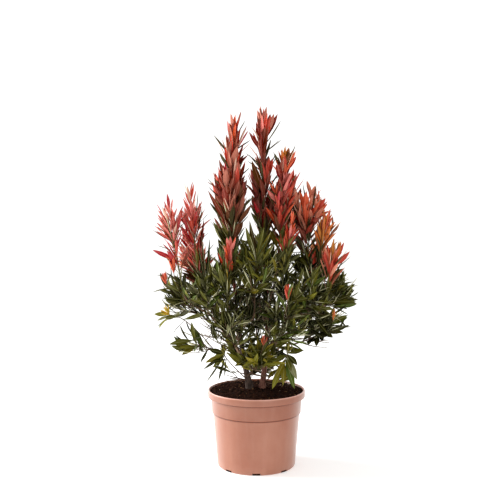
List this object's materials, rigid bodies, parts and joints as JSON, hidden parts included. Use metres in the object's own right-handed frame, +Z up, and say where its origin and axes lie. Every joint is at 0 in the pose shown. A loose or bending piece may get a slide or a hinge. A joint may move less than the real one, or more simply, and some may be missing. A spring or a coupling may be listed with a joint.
{
  "type": "potted bottlebrush shrub",
  "caption": "Bushy evergreen bottlebrush shrub with narrow leaves, green below and red on its new shoots, standing in a round terracotta-coloured nursery pot filled with soil.",
  "frame": {"origin": "the middle of the pot's flat underside, on the level that the pot stands on", "axes": "+Z up the plant, -Y to the front as pictured, +X to the viewer's right"},
  "size_m": [0.3998, 0.2956, 0.7018],
  "materials": {
    "pot_plastic": "terracotta-coloured moulded plastic, matt with a faint sheen",
    "potting_soil": "dark damp potting compost, rough",
    "bark": "thin brown bark, grey at the foot and reddish on the young boughs",
    "leaves_green": "leathery green leaves, dull with a soft sheen",
    "leaves_red": "young leaves from crimson to orange, green lower on the shoot",
    "leaves_bronze": "young leaves turning from dark red to olive"
  },
  "bodies": {
    "root": {"bough_back_high": "bark", "bough_back_left_high": "bark", "bough_back_left_low": "bark", "bough_back_low": "bark", "bough_back_right_high": "bark", "bough_back_right_low": "bark", "bough_crown_back_left": "bark", "bough_crown_back_right": "bark", "bough_crown_left_inner": "bark", "bough_crown_left_outer": "bark", "bough_crown_right_back": "bark", "bough_crown_right_front": "bark", "bough_flank_left_high": "bark", "bough_flank_left_low": "bark", "bough_flank_right": "bark", "bough_flank_right_high": "bark", "bough_flank_right_low": "bark", "bough_front_high": "bark", "bough_front_left": "bark", "bough_front_right": "bark", "bough_heart_left": "bark", "bough_heart_right": "bark", "bough_leader_right": "bark", "bough_shoot_front_left": "bark", "bough_shoot_front_right": "bark", "foliage_back_high": "leaves_green", "foliage_back_left_high": "leaves_green", "foliage_back_left_low": "leaves_green", "foliage_back_low": "leaves_green", "foliage_back_right_high": "leaves_green", "foliage_back_right_low": "leaves_green", "foliage_crown_back_left": "leaves_bronze", "foliage_crown_back_right": "leaves_bronze", "foliage_crown_left_inner": "leaves_red", "foliage_crown_left_outer": "leaves_red", "foliage_crown_right_back": "leaves_red", "foliage_crown_right_front": "leaves_red", "foliage_flank_left_high": "leaves_green", "foliage_flank_left_low": "leaves_green", "foliage_flank_right": "leaves_red", "foliage_flank_right_high": "leaves_green", "foliage_flank_right_low": "leaves_green", "foliage_front_high": "leaves_green", "foliage_front_left": "leaves_green", "foliage_front_right": "leaves_green", "foliage_heart_left": "leaves_green", "foliage_heart_right": "leaves_green", "foliage_leader_left": "leaves_red", "foliage_leader_middle": "leaves_bronze", "foliage_leader_right": "leaves_red", "foliage_low_back": "leaves_green", "foliage_low_front": "leaves_green", "foliage_low_left": "leaves_green", "foliage_low_right": "leaves_green", "foliage_shoot_front_left": "leaves_red", "foliage_shoot_front_right": "leaves_red", "pot": "pot_plastic", "soil": "potting_soil", "stem_left": "bark", "stem_right": "bark"}
  },
  "joints": []
}
